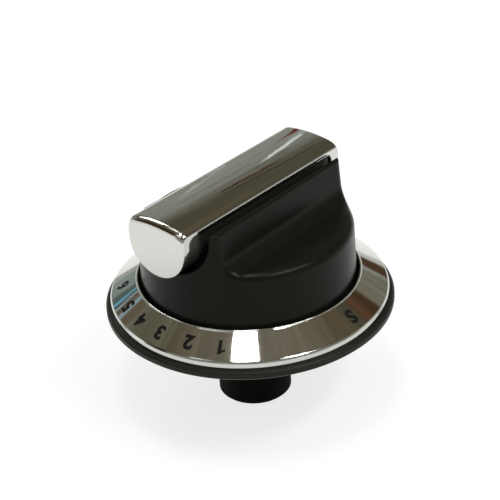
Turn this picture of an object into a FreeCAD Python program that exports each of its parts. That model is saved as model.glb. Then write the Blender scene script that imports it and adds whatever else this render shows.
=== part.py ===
import FreeCAD, Part
import math
import os
import re
import Sketcher

# A cooker control knob: a black drum with a grip ridge, a chrome cap on the ridge that ends in a nose,
# a chrome bezel ring for the scale, a base plate, and a stem that takes a D spindle.
#
# The origin is the centre of the stem's lower end face. Z runs up the spindle's axis, and the grip lies
# along X with its nose towards -X. Sizes are in millimetres.

Vec = FreeCAD.Vector

# Each size that can be set by itself: its name, its value and what it measures.
SIZES = [
    ("stem_radius", 7.7, "outside of the stem"),
    ("stem_edge", 0.5, "bevel of the stem's lower edge"),
    ("stem_relief", 0.3, "how much thinner the stem is inside the plate's boss"),
    ("stem_core_wall", 1.85, "wall of the inner tube round the spindle's socket"),
    ("stem_skin", 1.4, "wall of the stem's outer tube"),
    ("stem_core_depth", 16.0, "depth of the moulded-out space between the two tubes"),
    ("stem_web", 1.3, "thickness of the webs between the two tubes"),
    ("spindle_radius", 3.0, "radius of the cooker's D spindle"),
    ("spindle_flat", 1.5, "from the spindle's axis to its flat"),
    ("spindle_play", 0.05, "clearance all round the spindle"),
    ("lead_play", 0.25, "how much wider than the socket its round mouth is"),
    ("lead_depth", 4.0, "depth of the round mouth"),
    ("socket_depth", 22.0, "depth of the D socket"),
    ("clip_slot_depth", 0.85, "depth of the spring's slot behind the flat"),
    ("clip_slot_short", 3.0, "how far the spring's slot stays below the socket's end"),
    ("clip_wide", 4.0, "width of the spring leaf"),
    ("clip_gauge", 0.3, "thickness of the spring leaf"),
    ("clip_lift", 1.5, "height of the spring's lower end above the mouth"),
    ("clip_bow", 0.5, "how far the spring bows towards the spindle"),
    ("plate_radius", 30.0, "outside of the base plate"),
    ("plate_low", 21.8, "height of the plate's rim above the stem's end"),
    ("plate_thick", 1.8, "thickness of the plate's rim"),
    ("plate_web", 1.3, "thickness of the plate inside its rim"),
    ("plate_rim", 1.9, "width of the plate's thicker rim"),
    ("plate_edge", 0.4, "bevel of the rim's two edges"),
    ("plate_hub_wall", 4.9, "width of the boss round the stem"),
    ("plate_hub_drop", 1.2, "how far the boss and pads stand below the rim"),
    ("slip_fit", 0.1, "clearance between moulded pieces that slide together"),
    ("collar_step", 2.7, "how far the collar that traps the stem reaches past its outside"),
    ("collar_thick", 2.0, "thickness of that collar"),
    ("tongue_inset", 1.3, "how much thinner the stem's top end is, which drives the body"),
    ("tongue_cut", 1.2, "depth of each of the two driving flats"),
    ("tongue_room", 1.0, "floor of the channel left above the driving end"),
    ("screw_inset", 5.4, "from the drum's outside in to the circle on which the screws stand"),
    ("screw_radius", 1.45, "shank of the self-tapping screws"),
    ("screw_head_radius", 2.4, "head of the screws"),
    ("screw_head_thick", 1.1, "thickness of the heads"),
    ("screw_length", 8.5, "shank from the head to its blunt end"),
    ("screw_hole_play", 0.25, "clearance round the shank in the plate"),
    ("screw_thread_play", 0.05, "clearance between the shank and its boss"),
    ("screw_pad_wall", 1.25, "wall of the plate's pads round the heads"),
    ("screw_sink", 1.5, "depth of the counterbores"),
    ("slot_width", 0.8, "width of the driving slot in each head"),
    ("slot_depth", 0.6, "depth of the driving slot"),
    ("ring_inset", 1.05, "how far the bezel ring stands in from the plate's edge"),
    ("ring_lip", 1.55, "height of the ring's outer lip"),
    ("ring_width", 6.0, "width of the ring from its outside to its inside"),
    ("ring_rise", 3.65, "height that the cone climbs"),
    ("ring_wall", 1.25, "wall of the ring's lip"),
    ("ring_inner_wall", 2.0, "height of the ring's inner face below the cone's top"),
    ("ring_lip_wall", 0.9, "how far the hollow under the cone stays below the lip's top"),
    ("ring_bead", 0.22, "height of the thin raised inner edge"),
    ("ring_bead_width", 0.4, "width of the raised inner edge"),
    ("ring_bead_slope", 0.1, "width of the slope on the raised edge's outer side"),
    ("ring_edge", 0.25, "bevel between the lip and the cone"),
    ("ring_peg_wide", 1.4, "thickness of the pegs that key the ring to the plate"),
    ("ring_peg_long", 3.0, "length of those pegs along the ring"),
    ("ring_peg_inset", 2.35, "from the ring's outside in to the circle of pegs"),
    ("ring_peg_root", 0.7, "how far the pegs reach up past the lip into the cone"),
    ("drum_gap", 0.55, "shadow gap between the ring and the drum"),
    ("drum_draft", 1.4, "slope of the drum's wall in degrees"),
    ("foot_play", 0.4, "clearance between the body's flange and the ring's pegs"),
    ("foot_thick", 1.2, "thickness of that flange"),
    ("body_wall", 2.0, "wall of the drum"),
    ("shelf_rise", 16.9, "top of the drum beside the ridge, above the plate"),
    ("scoop_over", 2.0, "how far the scoops' sections reach past the drum"),
    ("cheek_rise", 8.4, "top of the ridge's two cheeks above the shelf"),
    ("cheek_wall", 1.17, "thickness of the cheeks' tops at the axis"),
    ("cheek_lean", 0.88, "how much further out the ridge's root lies than its top"),
    ("scoop_turn", 1.0, "angle by which the flanks close towards the back, in degrees"),
    ("root_round", 3.2, "hollow rounding between the flank and the shelf"),
    ("rim_round", 1.8, "rounding of the scoops' outer edges"),
    ("cheek_round", 0.4, "rounding of the cheeks' top edges"),
    ("channel_gap", 1.3, "shadow gap between the core and the channel"),
    ("spine_thick", 2.4, "floor under the channel"),
    ("spine_side", 2.1, "how far the thicker strip reaches past the channel"),
    ("shelf_thick", 2.1, "thickness of the drum's top"),
    ("hub_wall", 2.4, "wall of the socket for the stem's driving end"),
    ("boss_wall", 1.3, "wall of the bosses round the screws"),
    ("screw_tip_room", 2.4, "room in the bosses past the screws' ends"),
    ("rib_thick", 1.4, "ribs from the hub to the wall"),
    ("rib_rise", 3.4, "height of the ribs' lower edge above the plate"),
    ("grip_half_width", 7.2, "half width of the chrome cap"),
    ("grip_over", 1.5, "height of the cap's long top edges above the cheeks"),
    ("grip_crown", 1.5, "rise of the cap's crown above its edges"),
    ("crown_flat", 2.2, "from the middle to the points that shape the crown's flatter middle"),
    ("crown_over", 0.1, "how far those points stand above the crown"),
    ("shoulder_inset", 0.69, "from the edges in to the points that shape the crown's shoulders"),
    ("shoulder_rise", 0.9, "height of those points above the edges"),
    ("grip_depth", 10.3, "cap's edge down to the lowest point of its nose"),
    ("nose_over", 3.6, "how far the cap's nose reaches past the drum"),
    ("tail_inset", 0.9, "how far the cap's back stays inside the drum's outside"),
    ("nose_thick", 2.0, "thickness of the nose's apron"),
    ("tail_thick", 2.3, "thickness of the apron at the back"),
    ("skirt_height", 0.7, "height of the cap's side skirt"),
    ("nose_sweep", 1.6, "hollow rounding from the skirt into the nose"),
    ("nose_lip", 0.8, "thickness of the nose's apron at its lower edge"),
    ("nose_lip_drop", 6.1, "from the cap's edge down to where the apron begins to grow thicker"),
    ("nose_full_drop", 2.8, "from the cap's edge down to where it has its full thickness"),
    ("tail_sweep", 1.5, "hollow rounding from the skirt into the back"),
    ("cap_wall", 1.2, "wall of the cap"),
    ("nose_round", 1.5, "rounding of the cap's front top edge"),
    ("tail_edge", 0.4, "bevel of the cap's back top edge"),
    ("stake_radius", 1.5, "stakes that hold the cap down"),
    ("stake_inset", 8.9, "from the drum's outside in to each stake"),
    ("stake_head_over", 0.7, "how far the head formed on each stake reaches past it"),
    ("stake_head_thick", 0.8, "thickness of that head"),
    ("core_inset", 0.2, "how far the core stands back from the cap's outline"),
    ("core_step", 0.3, "how far the core's sides step in behind its nose"),
    ("core_step_back", 5.3, "from the nose's front back to where the core's sides step in"),
    ("core_wall", 1.6, "wall of the core"),
    ("core_foot_wall", 1.1, "wall of the feet on which the core stands"),
]

# Sizes that follow from the ones above.
FOLLOWS = {
    "ring_radius": "plate_radius - ring_inset",
    "ring_inner": "ring_radius - ring_width",
    "ring_peg_circle": "ring_radius - ring_peg_inset",
    "drum_radius": "ring_inner - drum_gap",
    "foot_radius": "ring_peg_circle - 0.5 * ring_peg_wide - foot_play",
    "socket_radius": "spindle_radius + spindle_play",
    "socket_flat": "spindle_flat + spindle_play",
    "stem_core_radius": "socket_radius + stem_core_wall",
    "lead_radius": "socket_radius + lead_play",
    "clip_slot_height": "socket_depth - clip_slot_short",
    "clip_low": "lead_depth + clip_lift",
    "collar_radius": "stem_radius + collar_step",
    "plate_hub_radius": "stem_radius + plate_hub_wall",
    "tongue_radius": "stem_radius - tongue_inset",
    "tongue_flat": "tongue_radius - tongue_cut",
    "plate_top": "plate_low + plate_thick",
    "pad_low": "plate_low - plate_hub_drop",
    "sink_top": "pad_low + screw_sink",
    "collar_top": "plate_top + collar_thick",
    "lip_top": "plate_top + ring_lip",
    "cone_top": "lip_top + ring_rise",
    "foot_top": "plate_top + foot_thick",
    "shelf_height": "plate_top + shelf_rise",
    "shelf_low": "shelf_height - shelf_thick",
    "cheek_top": "shelf_height + cheek_rise",
    "grip_edge": "cheek_top + grip_over",
    "round_height": "grip_edge - grip_depth + grip_half_width",
    "skirt_low": "grip_edge - skirt_height",
    "nose_lip_height": "grip_edge - nose_lip_drop",
    "nose_full_height": "grip_edge - nose_full_drop",
    "channel_radius": "grip_half_width - core_inset + channel_gap",
    "channel_low": "grip_edge - grip_depth + core_inset - channel_gap",
    "cheek_half": "channel_radius + cheek_wall",
    "root_half": "cheek_half + cheek_lean",
    "spine_low": "channel_low - spine_thick",
    "spine_half_width": "channel_radius + spine_side",
    "tongue_height": "spine_low - collar_top - tongue_room",
    "stem_top": "collar_top + tongue_height",
    "drum_top_radius": "drum_radius - ( cheek_top - plate_low ) * tan(drum_draft)",
    "screw_circle": "drum_radius - screw_inset",
    "screw_tip": "sink_top + screw_length",
    "screw_pad_radius": "screw_head_radius + screw_hole_play + screw_pad_wall",
    "boss_radius": "screw_radius + screw_thread_play + boss_wall",
    "boss_hole_depth": "screw_tip + screw_tip_room - plate_top",
    "nose_reach": "drum_radius + nose_over",
    "tail_reach": "drum_radius - tail_inset",
    "stake_spread": "drum_radius - stake_inset",
    "stake_head_radius": "stake_radius + stake_head_over",
    "core_step_place": "nose_reach - core_step_back",
    "core_foot_radius": "stake_radius + slip_fit + core_foot_wall",
}

SCREW_COUNT = 3
PEG_COUNT = 3
WEB_COUNT = 4
TOUCH = 0.02

doc = FreeCAD.newDocument("cooker_control_knob")
sheet = doc.addObject("Spreadsheet::Sheet", "Sizes")


def write_sheet():
    """Writes each size as a plain number with its name as the alias."""
    for row, (alias, value, note) in enumerate(SIZES, start=1):
        sheet.set("A%d" % row, note)
        sheet.set("B%d" % row, str(value))
        sheet.setAlias("B%d" % row, alias)
    sheet.recompute()


write_sheet()


def of(text):
    """Turns the names in an expression into references to the sheet, or into what they follow from."""
    names = {alias for alias, _, _ in SIZES}

    def stand_in(word):
        """What one name stands for."""
        if word[0] in FOLLOWS:
            return "( " + of(FOLLOWS[word[0]]) + " )"
        return "Sizes." + word[0] if word[0] in names else word[0]

    return re.sub(r"[a-z_]+", stand_in, text)


def number(text):
    """The present value of an expression, for a sketch's first guess."""
    value = sheet.evalExpression(of(text))
    return float(getattr(value, "Value", value))


def plane(body, role):
    """The body's own origin plane or axis with this role."""
    return next(f for f in body.Origin.OriginFeatures if f.Role == role)


def new_body(label):
    """An empty body whose label names its file."""
    body = doc.addObject("PartDesign::Body", label)
    body.Label = label
    body.Placement = FreeCAD.Placement()
    return body


def new_sketch(body, name, role, away="0"):
    """A sketch on one of the body's origin planes, moved along the plane's normal."""
    sketch = body.newObject("Sketcher::SketchObject", name)
    sketch.AttachmentSupport = [(plane(body, role), "")]
    sketch.MapMode = "FlatFace"
    if away != "0":
        sketch.setExpression(".AttachmentOffset.Base.z", of(away))
    return sketch


def hold(sketch, kind, places, text):
    """Adds a constraint of this kind, bound to an expression."""
    index = sketch.addConstraint(Sketcher.Constraint(kind, *places, number(text)))
    sketch.setExpression("Constraints[%d]" % index, of(text))


def pin_point(sketch, geometry, end, across, up):
    """Holds one end of a piece of geometry at two expressions."""
    hold(sketch, "DistanceX", (-1, 1, geometry, end), across)
    hold(sketch, "DistanceY", (-1, 1, geometry, end), up)


def outline(sketch, corners):
    """A closed straight outline, each corner held by two expressions."""
    first = sketch.GeometryCount
    spots = [Vec(number(a), number(b), 0) for a, b in corners]
    for here, there in zip(spots, spots[1:] + spots[:1]):
        sketch.addGeometry(Part.LineSegment(here, there))
    count = len(corners)
    for i in range(count):
        sketch.addConstraint(Sketcher.Constraint("Coincident", first + i, 2, first + (i + 1) % count, 1))
    for i, (across, up) in enumerate(corners):
        pin_point(sketch, first + i, 1, across, up)


def circle(sketch, across, up, radius):
    """A circle with its centre and radius held by expressions."""
    centre = Vec(number(across), number(up), 0)
    index = sketch.addGeometry(Part.Circle(centre, Vec(0, 0, 1), number(radius)))
    pin_point(sketch, index, 3, across, up)
    hold(sketch, "Radius", (index,), radius)


def rectangle(sketch, left, low, right, high):
    """An upright rectangle between two corners."""
    outline(sketch, [(left, low), (right, low), (right, high), (left, high)])


def arc_through(start, middle, end):
    """The arc from start to end through a point between them, turning anticlockwise as sketches want it."""
    whole = Part.Circle(start, middle, end)
    spokes = [start - whole.Center, end - whole.Center]
    first, last = [math.atan2(spoke.y, spoke.x) for spoke in spokes]
    if (middle - start).cross(end - middle).z < 0:
        first, last = last, first
    if last < first:
        last += 2 * math.pi
    return Part.ArcOfCircle(Part.Circle(whole.Center, Vec(0, 0, 1), whole.Radius), first, last)


def chain(sketch, start, *steps):
    """A closed outline of straight and round stretches.

    Each step is the next corner (across, up), followed for a round stretch by a point halfway along it and
    by its centre: the centre's height where the two corners are level, or else how far across it lies. A
    smooth curve has instead the list of four points that pull it between its ends.
    """
    ends = [start] + [step[:2] for step in steps]
    spots = [Vec(number(a), number(b), 0) for a, b in ends]
    first = sketch.GeometryCount
    for here, there, step in zip(spots, spots[1:], steps):
        if len(step) == 2:
            sketch.addGeometry(Part.LineSegment(here, there))
        elif len(step) == 3:
            pulls = [Vec(number(a), number(b), 0) for a, b in step[2]]
            curve = Part.BSplineCurve()
            curve.buildFromPolesMultsKnots([here] + pulls + [there], (4, 1, 1, 4), (0, 1, 4, 5), False, 3)
            sketch.addGeometry(curve)
        else:
            sketch.addGeometry(arc_through(here, Vec(number(step[2]), number(step[3]), 0), there))
    count = len(steps)
    for i in range(count):
        after = first + (i + 1) % count
        here_end = end_of(sketch, first + i, spots[i + 1])
        there_end = end_of(sketch, after, spots[i + 1])
        sketch.addConstraint(Sketcher.Constraint("Coincident", first + i, here_end, after, there_end))
    for i, step in enumerate(steps):
        pin_point(sketch, first + i, end_of(sketch, first + i, spots[i]), *ends[i])
        if len(step) == 3:
            hold_pulls(sketch, first + i, spots[i], step[2], spots[i + 1])
        elif len(step) > 3:
            level = abs(spots[i].y - spots[i + 1].y) < 0.001
            hold(sketch, "DistanceY" if level else "DistanceX", (-1, 1, first + i, 3), step[4])


def hold_pulls(sketch, curve, start, pulls, end):
    """Holds the points that pull a smooth curve, each by two expressions."""
    places = [start] + [Vec(number(a), number(b), 0) for a, b in pulls] + [end]
    first = sketch.GeometryCount
    for place in places:
        sketch.addGeometry(Part.Circle(place, Vec(0, 0, 1), 1.0), True)
    sketch.addConstraint(Sketcher.Constraint("Weight", first, 1.0))
    for i in range(len(places)):
        if i > 0:
            sketch.addConstraint(Sketcher.Constraint("Equal", first, first + i))
        kind = "InternalAlignment:Sketcher::BSplineControlPoint"
        sketch.addConstraint(Sketcher.Constraint(kind, first + i, 3, curve, i))
    for i, (across, up) in enumerate(pulls, start=1):
        pin_point(sketch, first + i, 3, across, up)


def end_of(sketch, index, spot):
    """Which end of this geometry is nearer to the spot: 1 for its start and 2 for its end."""
    return min((1, 2), key=lambda end: sketch.getPoint(index, end).distanceToPoint(spot))


def finish(feature, **properties):
    """Sets a feature's properties, binding each text to an expression, and recomputes."""
    for name, value in properties.items():
        if isinstance(value, str) and name != "SideType":
            feature.setExpression(name, of(value))
        else:
            setattr(feature, name, value)
    doc.recompute()
    return feature


def pad(body, name, sketch, length, **more):
    """A pad of the sketch along its plane's normal."""
    feature = body.newObject("PartDesign::Pad", name)
    feature.Profile = sketch
    return finish(feature, Length=length, **more)


def pocket(body, name, sketch, length, **more):
    """A pocket of the sketch, which has to take material away."""
    before = body.Shape.Volume
    feature = body.newObject("PartDesign::Pocket", name)
    feature.Profile = sketch
    finish(feature, Length=length, **more)
    if not body.Shape.Volume < before:
        raise RuntimeError(name + " cuts nothing")
    return feature


def revolve(body, name, sketch):
    """A full turn of the sketch about the body's upright axis."""
    feature = body.newObject("PartDesign::Revolution", name)
    feature.Profile = sketch
    feature.ReferenceAxis = (plane(body, "Z_Axis"), [""])
    return finish(feature, Angle=360.0)


def around(body, name, originals, count):
    """Repeats features in equal steps about the body's upright axis."""
    feature = body.newObject("PartDesign::PolarPattern", name)
    feature.Originals = originals
    feature.Axis = (plane(body, "Z_Axis"), [""])
    feature.Angle = 360.0
    feature.Occurrences = count
    body.Tip = feature
    doc.recompute()
    return feature


def mirrored(body, name, originals, role):
    """Repeats features on the other side of an origin plane."""
    feature = body.newObject("PartDesign::Mirrored", name)
    feature.Originals = originals
    feature.MirrorPlane = (plane(body, role), [""])
    body.Tip = feature
    doc.recompute()
    return feature


def edges_for(body, name, test):
    """The body's present shape and the names of its edges that pass the test."""
    base = body.Tip
    names = ["Edge%d" % i for i, edge in enumerate(base.Shape.Edges, start=1) if test(edge)]
    if not names:
        raise RuntimeError(name + " finds no edge")
    return base, names


def round_edges(body, name, test, radius):
    """Rounds the edges that pass the test."""
    chosen = edges_for(body, name, test)
    feature = body.newObject("PartDesign::Fillet", name)
    feature.Base = chosen
    return finish(feature, Radius=radius)


def bevel_edges(body, name, test, width):
    """Bevels the edges that pass the test."""
    chosen = edges_for(body, name, test)
    feature = body.newObject("PartDesign::Chamfer", name)
    feature.Base = chosen
    return finish(feature, Size=width)


def middle_of(edge):
    """The point halfway along an edge."""
    return edge.valueAt(0.5 * (edge.FirstParameter + edge.LastParameter))


def near(one, other):
    """Whether two lengths are the same for the choice of an edge."""
    return abs(one - other) < TOUCH


def peg_outline(sketch, gap):
    """The outline of one keying peg, or of its hole where there is a gap all round."""
    half = "( 0.5 * ring_peg_wide + " + gap + " )"
    long = "( 0.5 * ring_peg_long + " + gap + " )"
    rectangle(sketch, "ring_peg_circle - " + half, "-1 * " + long, "ring_peg_circle + " + half, long)


def make_base_plate():
    """The black disc at the back: a thin web with a thicker rim, a boss round the stem, and screw pads."""
    body = new_body("base_plate")
    profile = new_sketch(body, "plate_profile", "XZ_Plane")
    outline(profile, [
        ("stem_radius + slip_fit", "pad_low"),
        ("plate_hub_radius", "pad_low"),
        ("plate_hub_radius", "plate_low + plate_thick - plate_web"),
        ("plate_radius - plate_rim", "plate_low + plate_thick - plate_web"),
        ("plate_radius - plate_rim", "plate_low"),
        ("plate_radius - plate_edge", "plate_low"),
        ("plate_radius", "plate_low + plate_edge"),
        ("plate_radius", "plate_top - plate_edge"),
        ("plate_radius - plate_edge", "plate_top"),
        ("stem_radius + slip_fit", "plate_top"),
    ])
    revolve(body, "plate_disc", profile)
    pad_sketch = new_sketch(body, "screw_pad_outline", "XY_Plane", "pad_low")
    circle(pad_sketch, "0", "screw_circle", "screw_pad_radius")
    screw_pad = pad(body, "screw_pad", pad_sketch, "plate_hub_drop + plate_thick - 0.5 * plate_web")
    hole_sketch = new_sketch(body, "screw_hole_outline", "XY_Plane", "pad_low")
    circle(hole_sketch, "0", "screw_circle", "screw_radius + screw_hole_play")
    hole = pocket(body, "screw_hole", hole_sketch, "2 * ( plate_hub_drop + plate_thick )", Reversed=True)
    sink_sketch = new_sketch(body, "counterbore_outline", "XY_Plane", "pad_low")
    circle(sink_sketch, "0", "screw_circle", "screw_head_radius + screw_hole_play")
    sink = pocket(body, "counterbore", sink_sketch, "screw_sink", Reversed=True)
    around(body, "screw_places", [screw_pad, hole, sink], SCREW_COUNT)
    peg_sketch = new_sketch(body, "peg_hole_outline", "XY_Plane", "plate_low")
    peg_outline(peg_sketch, "slip_fit")
    peg_hole = pocket(body, "peg_hole", peg_sketch, "2 * plate_thick", Reversed=True)
    around(body, "peg_places", [peg_hole], PEG_COUNT)
    return body


def make_spindle_stem():
    """The hub tube: a D socket in an inner tube, webs to the outer tube, a collar and a driving end."""
    body = new_body("spindle_stem")
    profile = new_sketch(body, "stem_profile", "XZ_Plane")
    outline(profile, [
        ("0", "0"),
        ("stem_radius - stem_edge", "0"),
        ("stem_radius", "stem_edge"),
        ("stem_radius", "pad_low"),
        ("stem_radius - stem_relief", "pad_low"),
        ("stem_radius - stem_relief", "plate_top"),
        ("collar_radius", "plate_top"),
        ("collar_radius", "collar_top"),
        ("tongue_radius", "collar_top"),
        ("tongue_radius", "stem_top"),
        ("0", "stem_top"),
    ])
    revolve(body, "stem_turned", profile)
    flats = new_sketch(body, "driving_flats_outline", "XY_Plane", "collar_top")
    rectangle(flats, "tongue_flat", "-1 * collar_radius", "collar_radius", "collar_radius")
    flat = pocket(body, "driving_flat", flats, "2 * tongue_height", Reversed=True)
    mirrored(body, "driving_flats", [flat], "YZ_Plane")
    core = new_sketch(body, "core_space_outline", "XY_Plane")
    circle(core, "0", "0", "stem_radius - stem_skin")
    circle(core, "0", "0", "stem_core_radius")
    pocket(body, "core_space", core, "stem_core_depth", Reversed=True)
    web = new_sketch(body, "web_outline", "XY_Plane")
    rectangle(web, "0.5 * stem_core_radius + 0.5 * spindle_radius", "-0.5 * stem_web",
              "stem_radius - 0.5 * stem_skin", "0.5 * stem_web")
    webs = pad(body, "web", web, "stem_core_depth")
    around(body, "webs", [webs], WEB_COUNT)
    mouth = new_sketch(body, "mouth_outline", "XY_Plane")
    circle(mouth, "0", "0", "lead_radius")
    pocket(body, "mouth", mouth, "lead_depth", Reversed=True)
    socket = new_sketch(body, "socket_outline", "XY_Plane")
    reach = "sqrt(( spindle_radius + spindle_play ) ^ 2 - ( spindle_flat + spindle_play ) ^ 2 )"
    chain(socket, ("socket_flat", reach),
          ("socket_flat", "-1 * " + reach, "-1 * ( socket_radius )", "0", "0"),
          ("socket_flat", reach))
    pocket(body, "socket", socket, "socket_depth", Reversed=True)
    slot = new_sketch(body, "clip_slot_outline", "XY_Plane")
    rectangle(slot, "spindle_flat", "-0.5 * clip_wide - slip_fit",
              "socket_flat + clip_slot_depth", "0.5 * clip_wide + slip_fit")
    pocket(body, "clip_slot", slot, "clip_slot_height", Reversed=True)
    return body


def make_spindle_clip():
    """The bowed spring leaf that presses on the spindle's flat."""
    body = new_body("spindle_clip")
    profile = new_sketch(body, "leaf_profile", "XZ_Plane")
    back = "socket_flat + clip_slot_depth"
    face = back + " - clip_gauge"
    low = "clip_low"
    high = "clip_slot_height - slip_fit"
    half_way = "0.5 * ( clip_low + clip_slot_height - slip_fit )"
    rise = "0.5 * ( clip_slot_height - slip_fit - clip_low )"
    bow_radius = "( ( " + rise + " ) ^ 2 + clip_bow ^ 2 ) / ( 2 * clip_bow )"
    chain(profile, (back, low),
          (back, high, back + " - clip_bow", half_way, back + " - clip_bow + " + bow_radius),
          (face, high),
          (face, low, face + " - clip_bow", half_way, face + " - clip_bow + " + bow_radius),
          (back, low))
    pad(body, "leaf", profile, "clip_wide", SideType="Symmetric")
    return body


def make_base_screws():
    """The self-tapping screws, which hold the base plate to the body."""
    body = new_body("base_screws")
    body.AllowCompound = True
    profile = new_sketch(body, "screw_profile", "YZ_Plane")
    head_low = "sink_top - screw_head_thick"
    tip = "sink_top + screw_length"
    outline(profile, [
        ("screw_circle", head_low),
        ("screw_circle + screw_head_radius", head_low),
        ("screw_circle + screw_head_radius", "sink_top"),
        ("screw_circle + screw_radius", "sink_top"),
        ("screw_circle + screw_radius", tip),
        ("screw_circle", tip),
    ])
    turned = body.newObject("PartDesign::Revolution", "screw_turned")
    turned.Profile = profile
    turned.ReferenceAxis = (profile, ["Edge6"])
    finish(turned, Angle=360.0)
    slot = new_sketch(body, "slot_outline", "XY_Plane", head_low)
    rectangle(slot, "-0.5 * slot_width", "screw_circle - 2 * screw_head_radius",
              "0.5 * slot_width", "screw_circle + 2 * screw_head_radius")
    cut = pocket(body, "driving_slot", slot, "slot_depth", Reversed=True)
    around(body, "screws", [turned, cut], SCREW_COUNT)
    return body


def make_bezel_ring():
    """The chrome scale ring: a thin-walled cone with an outer lip, a raised inner edge and keying pegs."""
    body = new_body("bezel_ring")
    profile = new_sketch(body, "ring_profile", "XZ_Plane")
    outline(profile, [
        ("ring_radius", "plate_top"),
        ("ring_radius", "lip_top - ring_edge"),
        ("ring_radius - ring_edge",
         "lip_top + ring_edge * ring_rise / ( ring_radius - ring_inner - ring_bead_width )"),
        ("ring_inner + ring_bead_width", "cone_top"),
        ("ring_inner + ring_bead_width - ring_bead_slope", "cone_top + ring_bead"),
        ("ring_inner", "cone_top + ring_bead"),
        ("ring_inner", "cone_top - ring_inner_wall"),
        ("ring_radius - ring_wall", "lip_top - ring_lip_wall"),
        ("ring_radius - ring_wall", "plate_top"),
    ])
    revolve(body, "ring_turned", profile)
    peg = new_sketch(body, "peg_outline", "XY_Plane", "plate_top - plate_web + slip_fit")
    peg_outline(peg, "0")
    pegs = pad(body, "peg", peg, "plate_web - slip_fit + ring_lip + ring_peg_root")
    around(body, "pegs", [pegs], PEG_COUNT)
    return body


def scoop_sketch(body, name):
    """The section of a finger scoop: the ridge's flank, a hollow rounding and the shelf."""
    sketch = new_sketch(body, name, "YZ_Plane")
    turned = FreeCAD.Rotation(Vec(0, -1, 0), number("scoop_turn"))
    sketch.AttachmentOffset = FreeCAD.Placement(Vec(0, 0, 0), turned)
    sketch.setExpression(".AttachmentOffset.Rotation.Angle", of("scoop_turn"))
    out = "drum_radius + scoop_over"
    high = "cheek_top + scoop_over"
    lean = "( root_half - cheek_half ) / ( cheek_top - shelf_height )"
    flank_top = "cheek_half - " + lean + " * scoop_over"
    upper = Vec(number(flank_top), number(high), 0)
    corner = Vec(number("root_half"), number("shelf_height"), 0)
    outer = Vec(number(out), number("shelf_height"), 0)
    far = Vec(number(out), number(high), 0)
    flank = (upper - corner).normalize()
    shelf = (outer - corner).normalize()
    half_turn = 0.5 * (math.pi - flank.getAngle(shelf))
    radius = number("root_round")
    setback = radius * math.tan(half_turn)
    start = corner + flank * setback
    end = corner + shelf * setback
    bisector = (flank + shelf).normalize()
    middle = corner + bisector * (radius / math.cos(half_turn) - radius)
    sketch.addGeometry(Part.LineSegment(upper, start))
    sketch.addGeometry(Part.Arc(start, middle, end))
    sketch.addGeometry(Part.LineSegment(end, outer))
    sketch.addGeometry(Part.LineSegment(outer, far))
    sketch.addGeometry(Part.LineSegment(far, upper))
    sketch.addGeometry(Part.Point(corner))
    first, last = end_of(sketch, 1, start), end_of(sketch, 1, end)
    sketch.addConstraint(Sketcher.Constraint("Tangent", 0, 2, 1, first))
    sketch.addConstraint(Sketcher.Constraint("Tangent", 1, last, 2, 1))
    sketch.addConstraint(Sketcher.Constraint("Coincident", 2, 2, 3, 1))
    sketch.addConstraint(Sketcher.Constraint("Coincident", 3, 2, 4, 1))
    sketch.addConstraint(Sketcher.Constraint("Coincident", 4, 2, 0, 1))
    sketch.addConstraint(Sketcher.Constraint("PointOnObject", 5, 1, 0))
    sketch.addConstraint(Sketcher.Constraint("PointOnObject", 5, 1, 2))
    hold(sketch, "Radius", (1,), "root_round")
    pin_point(sketch, 5, 1, "root_half", "shelf_height")
    pin_point(sketch, 0, 1, flank_top, high)
    pin_point(sketch, 2, 2, out, "shelf_height")
    pin_point(sketch, 3, 2, out, high)
    return sketch


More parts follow.
